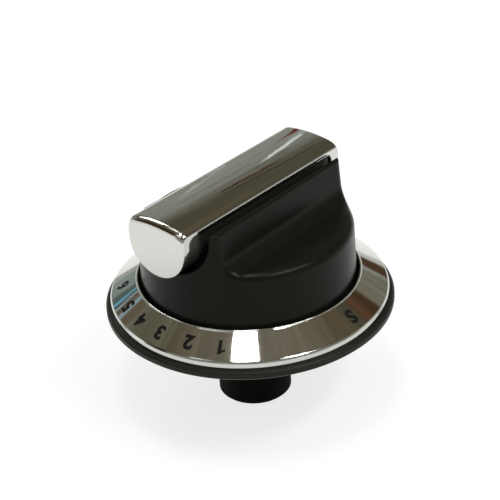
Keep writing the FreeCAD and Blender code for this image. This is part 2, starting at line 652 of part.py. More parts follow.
def make_knob_body():
    """The black drum, cut on both sides to leave the grip ridge, channelled for the grip and hollow below."""
    body = new_body("knob_body")
    profile = new_sketch(body, "drum_profile", "XZ_Plane")
    outline(profile, [
        ("0", "plate_top"),
        ("foot_radius", "plate_top"),
        ("foot_radius", "foot_top"),
        ("drum_radius", "foot_top"),
        ("drum_top_radius", "cheek_top"),
        ("0", "cheek_top"),
    ])
    revolve(body, "drum_turned", profile)

    section = scoop_sketch(body, "scoop_outline")
    scoop = pocket(body, "scoop", section, "4 * drum_radius", SideType="Symmetric")
    mirrored(body, "scoops", [scoop], "XZ_Plane")

    wall = number("body_wall")

    def on_rim(edge):
        """Whether an edge of a scoop lies on the drum's wall, away from the ridge's top."""
        spot = middle_of(edge)
        far = math.hypot(spot.x, spot.y) > number("drum_radius") - wall
        return far and spot.z > number("shelf_height") - wall and spot.z < number("cheek_top") - TOUCH

    round_edges(body, "scoop_rims", on_rim, "rim_round")

    channel = new_sketch(body, "channel_outline", "YZ_Plane")
    wide = "channel_radius"
    high = "cheek_top + grip_crown"
    chain(channel, ("-1 * ( " + wide + " )", high),
          ("-1 * ( " + wide + " )", "round_height"),
          (wide, "round_height", "0", "channel_low", "round_height"),
          (wide, high),
          ("-1 * ( " + wide + " )", high))
    pocket(body, "channel", channel, "3 * drum_radius", SideType="Symmetric")

    def on_cheek(edge):
        """Whether an edge bounds a cheek's top, but not along the channel."""
        spot = middle_of(edge)
        along_channel = near(abs(spot.y), number("channel_radius")) and edge.Length > number("drum_radius")
        return near(spot.z, number("cheek_top")) and not along_channel

    round_edges(body, "cheek_edges", on_cheek, "cheek_round")

    cup = new_sketch(body, "cup_outline", "XY_Plane", "plate_top")
    circle(cup, "0", "0", "drum_radius - body_wall")
    pocket(body, "cup", cup, "spine_low - plate_low - plate_thick", Reversed=True)
    side = new_sketch(body, "side_space_outline", "XY_Plane", "plate_top")
    inner = "drum_radius - body_wall"
    chord = "sqrt(( " + inner + " ) ^ 2 - spine_half_width ^ 2 )"
    chain(side, ("-1 * " + chord, "spine_half_width"),
          (chord, "spine_half_width"),
          ("-1 * " + chord, "spine_half_width", "0", inner, "0"))
    space = pocket(body, "side_space", side, "shelf_low - plate_low - plate_thick", Reversed=True)
    mirrored(body, "side_spaces", [space], "XZ_Plane")

    hub = new_sketch(body, "hub_outline", "XY_Plane", "collar_top")
    circle(hub, "0", "0", "tongue_radius + slip_fit + hub_wall")
    pad(body, "hub", hub, "spine_low + 0.5 * spine_thick - plate_low - plate_thick - collar_thick")
    boss = new_sketch(body, "boss_outline", "XY_Plane", "plate_top")
    circle(boss, "0", "screw_circle", "boss_radius")
    one_boss = pad(body, "boss", boss, "spine_low + 0.5 * spine_thick - plate_low - plate_thick")
    rib = new_sketch(body, "rib_outline", "XY_Plane", "plate_top + rib_rise")
    rectangle(rib, "-0.5 * rib_thick", "tongue_radius + hub_wall", "0.5 * rib_thick",
              "drum_radius - 0.5 * body_wall")
    one_rib = pad(body, "rib", rib, "spine_low + 0.5 * spine_thick - plate_low - plate_thick - rib_rise")
    hole = new_sketch(body, "boss_hole_outline", "XY_Plane", "plate_top")
    circle(hole, "0", "screw_circle", "screw_radius + screw_thread_play")
    one_hole = pocket(body, "boss_hole", hole, "boss_hole_depth", Reversed=True)
    around(body, "bosses", [one_boss, one_rib, one_hole], SCREW_COUNT)

    drive = new_sketch(body, "drive_outline", "XY_Plane", "collar_top")
    bore = "tongue_radius + slip_fit"
    flat = "tongue_flat + slip_fit"
    rise = "sqrt(( " + bore + " ) ^ 2 - ( " + flat + " ) ^ 2 )"
    chain(drive, (flat, "-1 * " + rise),
          (flat, rise),
          ("-1 * ( " + flat + " )", rise, "0", bore, "0"),
          ("-1 * ( " + flat + " )", "-1 * " + rise),
          (flat, "-1 * " + rise, "0", "-1 * ( " + bore + " )", "0"))
    pocket(body, "drive_socket", drive, "tongue_height + slip_fit", Reversed=True)

    seat = new_sketch(body, "core_seat_outline", "XY_Plane", "channel_low")
    circle(seat, "stake_spread", "0", "core_foot_radius + slip_fit")
    one_seat = pocket(body, "core_seat", seat, "grip_depth", Reversed=True)
    hole = new_sketch(body, "stake_hole_outline", "XY_Plane", "plate_top")
    circle(hole, "stake_spread", "0", "stake_radius + slip_fit")
    one_stake = pocket(body, "stake_hole", hole, "cheek_top", Reversed=True)
    mirrored(body, "stake_places", [one_seat, one_stake], "YZ_Plane")
    return body


def under_grip(sketch, gap, lip, rear):
    """The side view of the room under the cap: between its two aprons and below its skirt.

    The gap draws the outline in from the nose's apron, the skirt's two hollow roundings and the tail's apron.
    """
    floor = "grip_edge - 2 * grip_depth"
    front = "nose_thick - nose_reach + " + gap
    lip = lip + " + " + gap
    rear = rear + " - " + gap
    nose = "( nose_sweep + " + gap + " )"
    tail = "( tail_sweep + " + gap + " )"
    bow = " - %.6f * " % (1 - math.sqrt(0.5))
    chain(sketch, (lip, floor),
          (lip, "nose_lip_height"),
          (front, "nose_full_height"),
          (front, "skirt_low - " + nose),
          (front + " + " + nose, "skirt_low", front + " + %.6f * " % (1 - math.sqrt(0.5)) + nose,
           "skirt_low" + bow + nose, front + " + " + nose),
          (rear + " - " + tail, "skirt_low"),
          (rear, "skirt_low - " + tail, rear + bow + tail, "skirt_low" + bow + tail, rear + " - " + tail),
          (rear, floor),
          (lip, floor))


def core_section(sketch, inset, high):
    """The core's round-bottomed section, drawn in from the cap's outline by the inset."""
    wide = "grip_half_width - ( " + inset + " )"
    low = "grip_edge - grip_depth + ( " + inset + " )"
    chain(sketch, ("-1 * ( " + wide + " )", high),
          ("-1 * ( " + wide + " )", "round_height"),
          (wide, "round_height", "0", low, "round_height"),
          (wide, high),
          ("-1 * ( " + wide + " )", high))


def trim(body, name, start, length, inset):
    """Takes away what lies outside the core's section along one stretch of the grip."""
    sketch = new_sketch(body, name + "_outline", "YZ_Plane", start)
    core_section(sketch, inset, "2 * grip_edge - skirt_low")
    far = "2 * grip_half_width"
    rectangle(sketch, "-1 * " + far, "grip_edge - 3 * grip_depth", far, "grip_edge + grip_depth")
    pocket(body, name, sketch, length, Reversed=True)


def make_grip_core():
    """The black trough that carries the chrome cap and stands on two feet in the body's channel."""
    body = new_body("grip_core")
    side = new_sketch(body, "core_side", "XZ_Plane")
    under_grip(side, "slip_fit", "nose_lip - nose_reach", "tail_reach - tail_thick + slip_fit")
    pad(body, "core_block", side, "4 * grip_half_width", SideType="Symmetric")
    trim(body, "core_nose", "-1 * nose_reach", "nose_reach - core_step_place", "core_inset")
    trim(body, "core_sides", "-1 * core_step_place", "core_step_place + tail_reach", "core_inset + core_step")
    inside = new_sketch(body, "core_inside", "YZ_Plane", "nose_thick - nose_reach + core_wall")
    core_section(inside, "core_inset + core_step + core_wall", "skirt_low + skirt_height")
    pocket(body, "core_trough", inside,
           "nose_reach - nose_thick + tail_reach - tail_thick - 2 * core_wall", Reversed=True)
    foot = new_sketch(body, "core_foot_outline", "XY_Plane", "channel_low")
    circle(foot, "stake_spread", "0", "core_foot_radius")
    one_foot = pad(body, "core_foot", foot, "channel_gap + core_wall")
    hole = new_sketch(body, "core_hole_outline", "XY_Plane", "spine_low")
    circle(hole, "stake_spread", "0", "stake_radius + slip_fit")
    one_hole = pocket(body, "core_hole", hole, "grip_depth", Reversed=True)
    mirrored(body, "core_feet", [one_foot, one_hole], "YZ_Plane")
    return body


def make_grip_cap():
    """The chrome cap: a crowned strip with aprons at both ends, hollow below, held by two formed stakes."""
    body = new_body("grip_cap")
    section = new_sketch(body, "cap_section", "YZ_Plane", "-1 * nose_reach")
    wide = "grip_half_width"
    low = "grip_edge - grip_depth"
    shoulder = "grip_half_width - shoulder_inset"
    pulls = [(shoulder, "grip_edge + shoulder_rise"),
             ("crown_flat", "grip_edge + grip_crown + crown_over"),
             ("-1 * crown_flat", "grip_edge + grip_crown + crown_over"),
             ("-1 * ( " + shoulder + " )", "grip_edge + shoulder_rise")]
    chain(section, ("-1 * " + wide, "grip_edge"),
          ("-1 * " + wide, "round_height"),
          (wide, "round_height", "0", low, "round_height"),
          (wide, "grip_edge"),
          ("-1 * " + wide, "grip_edge", pulls))
    pad(body, "cap_bar", section, "nose_reach + tail_reach")
    top = number("grip_edge") + TOUCH
    nose, tail = -number("nose_reach"), number("tail_reach")
    round_edges(body, "cap_nose_edge",
                lambda edge: near(middle_of(edge).x, nose) and middle_of(edge).z > top, "nose_round")
    bevel_edges(body, "cap_tail_edge",
                lambda edge: near(middle_of(edge).x, tail) and middle_of(edge).z > top, "tail_edge")

    cut = new_sketch(body, "cap_side_cut", "XZ_Plane")
    under_grip(cut, "0", "nose_lip - nose_reach", "tail_reach - tail_thick")
    pocket(body, "cap_side", cut, "4 * grip_half_width", SideType="Symmetric")

    inside = new_sketch(body, "cap_inside", "YZ_Plane", "nose_thick - nose_reach + nose_sweep + cap_wall")
    narrow = "grip_half_width - cap_wall"
    inner_edge = "grip_edge - 0.5 * cap_wall"
    inner_radius = "( ( grip_half_width - cap_wall ) ^ 2 + ( grip_crown - 0.5 * cap_wall ) ^ 2 )" \
                   " / ( 2 * ( grip_crown - 0.5 * cap_wall ) )"
    chain(inside, ("-1 * ( " + narrow + " )", inner_edge),
          ("-1 * ( " + narrow + " )", "skirt_low - skirt_height"),
          (narrow, "skirt_low - skirt_height"),
          (narrow, inner_edge),
          ("-1 * ( " + narrow + " )", inner_edge, "0", "grip_edge + grip_crown - cap_wall",
           "grip_edge + grip_crown - cap_wall - " + inner_radius))
    hollow_long = "nose_reach - nose_thick + tail_reach - tail_thick - nose_sweep - tail_sweep - cap_wall"
    pocket(body, "cap_hollow", inside, hollow_long, Reversed=True)

    stake = new_sketch(body, "stake_outline", "XY_Plane", "spine_low")
    circle(stake, "stake_spread", "0", "stake_radius")
    shank = pad(body, "stake", stake, "grip_edge + 0.5 * grip_crown - ( spine_low )")
    head = new_sketch(body, "stake_head_outline", "XY_Plane", "spine_low")
    circle(head, "stake_spread", "0", "stake_head_radius")
    formed = pad(body, "stake_head", head, "stake_head_thick", Reversed=True)
    mirrored(body, "stakes", [shank, formed], "YZ_Plane")
    return body


def main():
    """Builds each piece, checks the document and writes one file for each piece."""
    pieces = [
        make_base_plate(),
        make_spindle_stem(),
        make_spindle_clip(),
        make_base_screws(),
        make_bezel_ring(),
        make_knob_body(),
        make_grip_core(),
        make_grip_cap(),
    ]
    doc.recompute()
    for item in doc.Objects:
        if "Invalid" in item.State or "Error" in item.State:
            raise RuntimeError(item.Name + " did not compute")
    for piece in pieces:
        if piece.Shape.isNull() or not piece.Shape.isValid():
            raise RuntimeError(piece.Label + " has no valid shape")
    os.makedirs("parts", exist_ok=True)
    for piece in pieces:
        piece.Shape.exportStep(os.path.join("parts", piece.Label + ".step"))
        print(piece.Label, "solids", len(piece.Shape.Solids), "volume %.1f" % piece.Shape.Volume)


main()
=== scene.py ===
# %% [markdown]
# # Cooker control knob: the looks
#
# The imported model gives every part its shape and its place. This script gives the parts their
# surfaces, prints the scale on the ring, and sets up the table, the room and the camera.

# %% [markdown]
# ## The imported model
#
# The frame holds the knob's eight parts as they were packed, upright on the stem's end, in metres.

# %% The frame
import math

import bmesh
import bpy
import numpy as np
from mathutils import Matrix, Vector


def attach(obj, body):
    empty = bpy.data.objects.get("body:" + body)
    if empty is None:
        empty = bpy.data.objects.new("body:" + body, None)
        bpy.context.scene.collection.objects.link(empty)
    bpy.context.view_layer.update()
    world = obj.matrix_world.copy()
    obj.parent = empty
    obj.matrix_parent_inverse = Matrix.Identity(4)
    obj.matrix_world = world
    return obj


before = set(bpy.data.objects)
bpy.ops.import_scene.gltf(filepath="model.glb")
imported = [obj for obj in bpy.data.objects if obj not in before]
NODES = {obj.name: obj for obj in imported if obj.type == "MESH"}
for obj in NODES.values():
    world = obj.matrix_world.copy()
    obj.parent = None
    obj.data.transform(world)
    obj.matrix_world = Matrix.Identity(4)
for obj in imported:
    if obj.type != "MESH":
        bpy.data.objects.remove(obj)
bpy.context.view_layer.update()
MM = 0.001
print("parts:", ", ".join(sorted(NODES)))

# %% [markdown]
# ## Colours and nodes
#
# Colours are written as they look on a screen and are turned into light amounts by one function.
# A material in Blender is a tree of nodes, and one more function adds a node to such a tree: it
# sets the node up, fills its inputs and hands back the output that the next node needs.


# %% Colour and node helpers
def linear(code):
    """A screen colour as light: each channel goes through the inverse of the screen's curve."""
    parts = np.array([int(code[i:i + 2], 16) for i in (1, 3, 5)]) / 255
    light = np.where(parts <= 0.04045, parts / 12.92, ((parts + 0.055) / 1.055) ** 2.4)
    return (*light.tolist(), 1.0)


def add(tree, kind, inputs=None, take=0, **settings):
    """One node in a tree. Each input takes a value or another node's output.

    It gives back the output that take names or counts, or the node itself for take=None.
    """
    node = tree.nodes.new(kind)
    for name, value in settings.items():
        setattr(node, name, value)
    for name, value in (inputs or {}).items():
        if isinstance(value, bpy.types.NodeSocket):
            tree.links.new(value, node.inputs[name])
        else:
            node.inputs[name].default_value = value
    return node if take is None else node.outputs[take]


def material(name):
    """A new material, its empty tree, and the place on the piece that its patterns start from."""
    made = bpy.data.materials.new(name)
    made.use_nodes = True
    made.node_tree.nodes.clear()
    return made, made.node_tree, add(made.node_tree, "ShaderNodeTexCoord", take="Object")


def dress(node, made):
    """A part's slots all take one material."""
    for slot in NODES[node].material_slots:
        slot.material = made
    if not NODES[node].material_slots:
        NODES[node].data.materials.append(made)


print("a screen's #808080 is", round(linear("#808080")[0], 3), "of white as light")

# %% [markdown]
# ## Chrome plate
#
# The cap and the ring are moulded in plastic and plated with bright chrome. Plate on plastic is
# mirror-smooth but never quite flat: the moulding sinks a little, so reflections waver, and a very
# faint peel shows in highlights. Plating also rounds every sharp corner, which the corner's normals
# show here without any change of shape. Waves and peel are noises that tilt the normals, because
# they are far too shallow to be worth a mesh.

# %% Chrome
HAZE_MM = 5.0
PEEL_MM, PEEL_DEEP = 0.9, 0.0000005
PLATED_CORNER_MM = 0.35


def chrome(name, colour, wave_mm, wave_deep, haze):
    """Bright plate: a mirror with slow waves in its surface and faint handling haze.

    The roughness runs from half to one and a half times the haze, as a noise rises. The normal is
    the rounded corner's, tilted by the slope of the waves and then by the slope of the peel.
    """
    made, tree, place = material(name)
    waves = add(tree, "ShaderNodeTexNoise",
                {"Vector": place, "Scale": 1 / (wave_mm * MM), "Detail": 1.0, "Roughness": 0.4})
    smear = add(tree, "ShaderNodeTexNoise",
                {"Vector": place, "Scale": 1 / (HAZE_MM * MM), "Detail": 5.0, "Roughness": 0.6})
    rough = add(tree, "ShaderNodeMapRange", {"Value": smear, "From Min": 0.35, "From Max": 0.75,
                                             "To Min": haze * 0.5, "To Max": haze * 1.5})
    edge = add(tree, "ShaderNodeBevel", {"Radius": PLATED_CORNER_MM * MM}, samples=6)
    slow = add(tree, "ShaderNodeBump",
               {"Height": waves, "Normal": edge, "Strength": 1.0, "Distance": wave_deep})
    peel = add(tree, "ShaderNodeTexNoise",
               {"Vector": place, "Scale": 1 / (PEEL_MM * MM), "Detail": 2.0, "Roughness": 0.5})
    fine = add(tree, "ShaderNodeBump",
               {"Height": peel, "Normal": slow, "Strength": 1.0, "Distance": PEEL_DEEP})
    skin = add(tree, "ShaderNodeBsdfPrincipled",
               {"Base Color": linear(colour), "Metallic": 1.0, "Roughness": rough, "Normal": fine})
    add(tree, "ShaderNodeOutputMaterial", {"Surface": skin}, take=None)
    return made


# The ring: short and deeper waves, so the brown patches in its cone bend and break up.
dress("bezel_ring", chrome("chrome_plate_ring", "#d3d3ce", 8.0, 0.000034, 0.05))
# The cap: long and shallow waves, so the streaks along its crown stay nearly straight.
dress("grip_cap", chrome("chrome_plate_cap", "#d3d3ce", 14.0, 0.000010, 0.05))
for plated in ("bezel_ring", "grip_cap"):
    print(plated, "is dressed in", NODES[plated].material_slots[0].name)

# %% [markdown]
# ## Moulded plastic
#
# The black parts are injection-moulded. A moulding takes over the skin of its steel tool, and a
# finely eroded tool leaves a very fine grain and a satin shine. A little change of shade and shine
# over some millimetres stands for the flow of the plastic in the mould. The grain is drawn as a
# bump, since it only has to spread the highlights.

# %% Moulded plastic
FLOW_MM = 7.0
SHEEN = "#f6f8e6"
# Where a colour mix has its two inputs and its output in the mixing node's lists.
FIRST, SECOND, MIXED = 6, 7, 2


def moulded(name, shades, grain_mm, grain_deep, roughs, shine, corner_mm=0.25):
    """Moulded plastic: a fine grain in the skin, and slow changes of shade and shine.

    One slow noise runs the colour from the first shade to the second and the roughness from the
    first value to the second. The normal is the rounded corner's, tilted by the grain's slope.
    """
    made, tree, place = material(name)
    grain = add(tree, "ShaderNodeTexNoise",
                {"Vector": place, "Scale": 1 / (grain_mm * MM), "Detail": 3.0, "Roughness": 0.55})
    flow = add(tree, "ShaderNodeTexNoise",
               {"Vector": place, "Scale": 1 / (FLOW_MM * MM), "Detail": 4.0, "Roughness": 0.5})
    shade = add(tree, "ShaderNodeMix", {"Factor": flow, FIRST: linear(shades[0]),
                                        SECOND: linear(shades[1])}, take=MIXED, data_type="RGBA")
    rough = add(tree, "ShaderNodeMapRange", {"Value": flow, "From Min": 0.3, "From Max": 0.7,
                                             "To Min": roughs[0], "To Max": roughs[1]})
    edge = add(tree, "ShaderNodeBevel", {"Radius": corner_mm * MM}, samples=6)
    bump = add(tree, "ShaderNodeBump",
               {"Height": grain, "Normal": edge, "Strength": 1.0, "Distance": grain_deep})
    skin = add(tree, "ShaderNodeBsdfPrincipled",
               {"Base Color": shade, "Roughness": rough, "Normal": bump,
                "Specular IOR Level": shine, "Specular Tint": linear(SHEEN)})
    add(tree, "ShaderNodeOutputMaterial", {"Surface": skin}, take=None)
    return made


print("flow over", FLOW_MM, "mm")

# %% [markdown]
# ## The four black parts
#
# The drum and the trough are ABS from an eroded tool. The disc and the stem come from plainer
# tools, and the glass fibres in the stem's nylon dull it further. A real grain of this kind is
# finer than a tenth of a millimetre. It is drawn as coarse as it needs to show, and coarser for
# the plainer tools. Shine, grain and colour give the four blacks their different depths. The
# trough's colour is painted lighter, as painted light in its shaded gap, and the stem's is
# painted darker, as painted shade under the disc.

# %% The four black parts
# The drum: deep black with a soft, slightly green sheen on its wall and a light line on the rim.
dress("knob_body", moulded("satin_black_abs", ("#121310", "#161713"), 0.22, 0.000008,
                           (0.24, 0.30), 0.11, 0.6))
# The trough: the same plastic with more shine, and a colour painted lighter than the drum's as
# painted light for the shade it sits in, so its front stands out of the dark gap round it.
dress("grip_core", moulded("black_abs_trough", ("#252622", "#2a2b27"), 0.22, 0.000008,
                           (0.24, 0.32), 0.6))
# The disc: a coarser and duller grain, which makes a quiet dark line under the bright ring.
dress("base_plate", moulded("black_plate_plastic", ("#151612", "#1b1c18"), 0.30, 0.000012,
                            (0.38, 0.48), 0.25))
# The stem: glass fibres leave it almost without shine, and its black is painted darker than the
# other parts' as painted shade for the shadow under the disc, the darkest thing in the picture.
dress("spindle_stem", moulded("glass_filled_nylon", ("#080807", "#0c0c0b"), 0.45, 0.000020,
                              (0.60, 0.75), 0.06))
print("materials so far:", len(bpy.data.materials))

# %% [markdown]
# ## Steel parts
#
# The spring leaf is cut from rolled strip and stays bare. The screws are cold-formed and
# zinc-plated, which leaves a paler skin with a faint straw tint. Both are small, so their shade and
# shine drift over about a millimetre, and nothing larger is needed.

# %% Steel
DRIFT_MM = 1.2


def steel(name, shades, roughs):
    """Small steel parts: one noise runs both the shade and the shine between two values."""
    made, tree, place = material(name)
    drift = add(tree, "ShaderNodeTexNoise",
                {"Vector": place, "Scale": 1 / (DRIFT_MM * MM), "Detail": 4.0, "Roughness": 0.6})
    shade = add(tree, "ShaderNodeMix", {"Factor": drift, FIRST: linear(shades[0]),
                                        SECOND: linear(shades[1])}, take=MIXED, data_type="RGBA")
    rough = add(tree, "ShaderNodeMapRange", {"Value": drift, "From Min": 0.3, "From Max": 0.7,
                                             "To Min": roughs[0], "To Max": roughs[1]})
    skin = add(tree, "ShaderNodeBsdfPrincipled",
               {"Base Color": shade, "Roughness": rough, "Metallic": 1.0})
    add(tree, "ShaderNodeOutputMaterial", {"Surface": skin}, take=None)
    return made


# The leaf: a bright grey with the brownish cast of bare rolled strip.
dress("spindle_clip", steel("spring_steel_strip", ("#b4b5b8", "#a39f98"), (0.22, 0.34)))
# The screws: paler and softer, between bluish and straw.
dress("base_screws", steel("zinc_plated_steel", ("#c9cbcf", "#c5c2b0"), (0.28, 0.42)))
print("materials so far:", len(bpy.data.materials))

# %% [markdown]
# ## The printed scale
#
# The marks are pad-printed in black on the ring's cone, a film of ink a few hundredths of a
# millimetre thick. Each one could be a picture on the ring, but a thin piece of its own keeps its
# edges sharp from near by and can be taken off again. This cell holds the sizes: the cone's lower
# and upper edge as way out and height, the marks' height, and the azimuth of each mark.

# %% Sizes of the marks, in millimetres and degrees
CONE_LOW = (28.95, 25.15)
CONE_HIGH = (23.35, 28.80)
SLOPE = math.atan2(CONE_HIGH[1] - CONE_LOW[1], CONE_LOW[0] - CONE_HIGH[0])
MARK_HEIGHT = 3.0
MARK_RADIUS = 26.2
INK_OVER = 0.025
INK_UNDER = 0.03
MARKS = {"S": -88.6, "1": -151.1, "2": -166.4, "3": 178.2, "4": 164.7, "5": 150.9, "6": 133.0}
print("the cone climbs at", round(math.degrees(SLOPE), 1), "degrees; marks:", len(MARKS))

# %% [markdown]
# ## One letter, flat
#
# Blender's own type gives the outlines, grown a little because printed strokes are bolder. The "1"
# has an outline of its own, because the printed one is plainer than the type's. Each letter is cut
# into narrow strips, so that it can bend round the cone.

# %% Letters
TYPE_HEIGHT = 0.73
STRIP = 0.2
WIDEST = 2
# The outline of the "6" breaks when it grows as much as the others.
BOLDER, BOLDER_SIX = 0.042, 0.03
ONE = [(0.26, 0), (0.44, 0), (0.44, 0.73), (0.31, 0.73),
       (0.25, 0.65), (0.08, 0.57), (0.08, 0.45), (0.26, 0.52)]


def outline(text, shape):
    """A letter's flat outline from Blender's type, put into a mesh that is being made."""
    curve = bpy.data.curves.new("mark", "FONT")
    curve.body = text
    curve.offset = BOLDER_SIX if text == "6" else BOLDER
    curve.fill_mode = "FRONT"
    maker = bpy.data.objects.new("mark", curve)
    bpy.context.scene.collection.objects.link(maker)
    shown = maker.evaluated_get(bpy.context.evaluated_depsgraph_get())
    flat = bpy.data.meshes.new_from_object(shown)
    bpy.data.objects.remove(maker)
    shape.from_mesh(flat)
    bpy.data.meshes.remove(flat)


def letter(text):
    """A letter as flat points, faces and rim edges, in mm.

    Each point is its way from the outline's middle, times the printed height over the type's.
    """
    shape = bmesh.new()
    if text == "1":
        shape.faces.new([shape.verts.new((across, up, 0)) for across, up in ONE])
    else:
        outline(text, shape)
    bmesh.ops.remove_doubles(shape, verts=shape.verts, dist=1e-5)
    points = np.array([v.co for v in shape.verts])
    middle = Vector((points.min(0) + points.max(0)) / 2)
    for v in shape.verts:
        v.co = (v.co - middle) * (MARK_HEIGHT / TYPE_HEIGHT)
    for place in np.arange(-WIDEST, WIDEST, STRIP):
        bmesh.ops.bisect_plane(shape, geom=shape.verts[:] + shape.edges[:] + shape.faces[:],
                               plane_co=(place, 0, 0), plane_no=(1, 0, 0))
    bmesh.ops.triangulate(shape, faces=shape.faces)
    shape.verts.index_update()
    points = np.array([v.co for v in shape.verts])
    faces = [[v.index for v in f.verts] for f in shape.faces]
    rims = [[loop.vert.index for loop in (e.link_loops[0], e.link_loops[0].link_loop_next)]
            for e in shape.edges if len(e.link_loops) == 1]
    shape.free()
    return points, faces, rims


print("strips:", STRIP, "mm wide")

# %% [markdown]
# ## From flat to cone
#
# A printing pad rolls the flat letter onto the cone. The same is done here with three short sums on
# all the letter's points at once. Two copies, one just above the plate and one just below it, make
# a closed film that can't float off the ring.


# %% On the cone
def new_piece(name, points, faces):
    """A piece of the scene from its corner points and its faces."""
    mesh = bpy.data.meshes.new(name)
    mesh.from_pydata(points, [], faces)
    mesh.update()
    piece = bpy.data.objects.new(name, mesh)
    bpy.context.scene.collection.objects.link(piece)
    return piece


def on_cone(points, azimuth, over):
    """Letter points on the cone, with the letter's foot towards the knob's axis.

    The turn is the azimuth less the way across over the radius. The way out is the radius plus the
    way up times the slope's cosine. The height is the cone's, less the way up times the slope's
    sine. The film's thickness is added along the cone's normal.
    """
    turn = math.radians(azimuth) - points[:, 0] / MARK_RADIUS
    out = MARK_RADIUS + points[:, 1] * math.cos(SLOPE) + over * math.sin(SLOPE)
    rise = CONE_LOW[1] + (CONE_LOW[0] - MARK_RADIUS) * math.tan(SLOPE)
    up = rise - points[:, 1] * math.sin(SLOPE) + over * math.cos(SLOPE)
    return np.stack([out * np.cos(turn), out * np.sin(turn), up], 1) * MM


def mark(text, azimuth, name):
    """One printed mark: its letter over the plate and under it, with walls along the rims."""
    points, faces, rims = letter(text)
    count = len(points)
    both = np.concatenate([on_cone(points, azimuth, INK_OVER),
                           on_cone(points, azimuth, -INK_UNDER)])
    unders = [[i + count for i in reversed(f)] for f in faces]
    walls = [[b, a, a + count, b + count] for a, b in rims]
    return new_piece(name, both.tolist(), faces + unders + walls)


print("film:", INK_OVER + INK_UNDER, "mm")

# %% [markdown]
# ## Ink and the seven marks
#
# Pad-printing ink dries dull and covers unevenly, so the black drifts a little over a quarter of a
# millimetre. It hardly mirrors anything, which is what sets the marks off from the bright plate.

# %% Ink and marks
COVER_MM = 0.25
# The ink: a dull black that stays black where the plate beside it turns bright.
INK, ink_tree, ink_place = material("black_printing_ink")
cover = add(ink_tree, "ShaderNodeTexNoise",
            {"Vector": ink_place, "Scale": 1 / (COVER_MM * MM), "Detail": 3.0})
black = add(ink_tree, "ShaderNodeMix", {"Factor": cover, FIRST: linear("#060605"),
                                        SECOND: linear("#10100e")}, take=MIXED, data_type="RGBA")
film = add(ink_tree, "ShaderNodeBsdfPrincipled",
           {"Base Color": black, "Roughness": 0.55, "Specular IOR Level": 0.15})
add(ink_tree, "ShaderNodeOutputMaterial", {"Surface": film}, take=None)

for text, azimuth in MARKS.items():
    piece = mark(text, azimuth, f"scale_mark_{text}")
    piece.data.materials.append(INK)
    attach(piece, "root")
    print(piece.name, len(piece.data.polygons), "faces")

# %% [markdown]
# ## The table
#
# The photo's knob stands on white and keeps its shadow. So the table's own colour is a middle grey
# that takes light and shadow, and a steady glow lifts it to white for the eye, for glass and for
# mirrors. In mirrors the glow is weaker close to the knob, where the knob itself keeps light off
# the table.

# %% Table
TABLE_HALF = 3.0
TABLE_GLOW = (0.76, 0.76, 0.755, 1.0)
SHADED_TO_MM, LIT_FROM_MM, SHADED = 80, 102, 0.77

floor = new_piece("table_top", [(-TABLE_HALF, -TABLE_HALF, 0), (TABLE_HALF, -TABLE_HALF, 0),
                                (TABLE_HALF, TABLE_HALF, 0), (-TABLE_HALF, TABLE_HALF, 0)],
                  [(0, 1, 2, 3)])
# The table: white all over with a soft grey shadow under the knob.
white, white_tree, on_table = material("white_table")
path = add(white_tree, "ShaderNodeLightPath", take=None).outputs
reach = add(white_tree, "ShaderNodeVectorMath", {0: on_table}, take="Value", operation="LENGTH")
shaded = add(white_tree, "ShaderNodeMapRange",
             {"Value": reach, "From Min": SHADED_TO_MM * MM, "From Max": LIT_FROM_MM * MM,
              "To Min": SHADED, "To Max": 1.0}, interpolation_type="SMOOTHSTEP")
mirrored = add(white_tree, "ShaderNodeMath", {0: path["Is Glossy Ray"], 1: shaded},
               operation="MULTIPLY")
seen = add(white_tree, "ShaderNodeMath", {0: path["Is Camera Ray"], 1: mirrored},
           operation="MAXIMUM")
seen = add(white_tree, "ShaderNodeMath", {0: seen, 1: path["Is Transmission Ray"]},
           operation="MAXIMUM")
matt = add(white_tree, "ShaderNodeBsdfDiffuse", {"Color": linear("#8a8a8a")})
glow = add(white_tree, "ShaderNodeEmission", {"Color": TABLE_GLOW, "Strength": seen})
both = add(white_tree, "ShaderNodeAddShader", {0: matt, 1: glow})
add(white_tree, "ShaderNodeOutputMaterial", {"Surface": both}, take=None)
floor.data.materials.append(white)
print("table:", 2 * TABLE_HALF, "m across")

# %% [markdown]
# ## What the room holds
#
# Chrome has hardly any colour of its own and shows the room it stands in. This room has grey walls,
# a browner ceiling, a few narrow bright and dark things, and some lit screens. Each thing is a
# window in heading and height, both in degrees, so that plain lists hold the whole room.

# %% What the room holds
# The walls' shade at each share of the way from the table up to the zenith.
WALLS = [(0.0, "#e6e6de"), (0.045, "#b8bab2"), (0.10, "#96978f"), (0.17, "#8f9089"),
         (0.26, "#949690"), (0.30, "#91918a"), (0.345, "#888a80"), (0.385, "#6b665b"),
         (0.42, "#555248"), (0.50, "#555143"), (0.58, "#625b4a"), (0.70, "#726c5c"),
         (0.86, "#7c7669"), (1.0, "#7e786b")]
